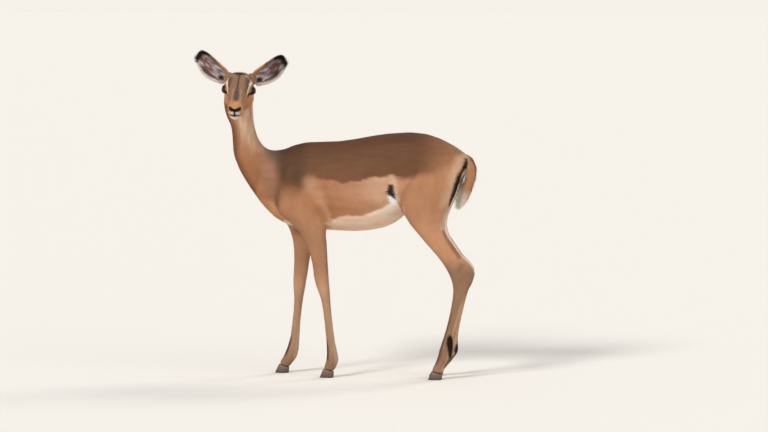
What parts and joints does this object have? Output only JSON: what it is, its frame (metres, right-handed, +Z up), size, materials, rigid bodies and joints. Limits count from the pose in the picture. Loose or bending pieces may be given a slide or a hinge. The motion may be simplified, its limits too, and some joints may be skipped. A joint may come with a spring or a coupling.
{
  "type": "impala antelope",
  "caption": "Life-size still figure of a hornless female impala that stands on its four legs and turns its head to its left.",
  "frame": {"origin": "on the ground, below the middle of the bounding box", "axes": "+Z up, -X towards the shoulders and the head end, -Y towards the animal's left side, which its face is turned to"},
  "size_m": [0.9958, 0.3176, 1.14],
  "materials": {
    "coat": "short sleek hair that lies flat, red-brown above and white below",
    "eye": "wet and glossy, dark brown",
    "hoof": "horn, dull and dusty, grey-brown with a darker rim"
  },
  "bodies": {
    "root": {"head": "coat", "lower_jaw": "coat", "ear_left": "coat", "ear_right": "coat", "eye_left": "eye", "eye_right": "eye", "neck": "coat", "trunk": "coat", "tail": "coat", "foreleg_left_arm": "coat", "foreleg_left_forearm": "coat", "foreleg_left_cannon": "coat", "foreleg_left_pastern": "coat", "foreleg_left_inner_claw": "hoof", "foreleg_left_outer_claw": "hoof", "foreleg_right_arm": "coat", "foreleg_right_forearm": "coat", "foreleg_right_cannon": "coat", "foreleg_right_pastern": "coat", "foreleg_right_inner_claw": "hoof", "foreleg_right_outer_claw": "hoof", "hindleg_left_thigh": "coat", "hindleg_left_shank": "coat", "hindleg_left_cannon": "coat", "hindleg_left_pastern": "coat", "hindleg_left_inner_claw": "hoof", "hindleg_left_outer_claw": "hoof", "hindleg_right_thigh": "coat", "hindleg_right_shank": "coat", "hindleg_right_cannon": "coat", "hindleg_right_pastern": "coat", "hindleg_right_inner_claw": "hoof", "hindleg_right_outer_claw": "hoof"}
  },
  "joints": []
}
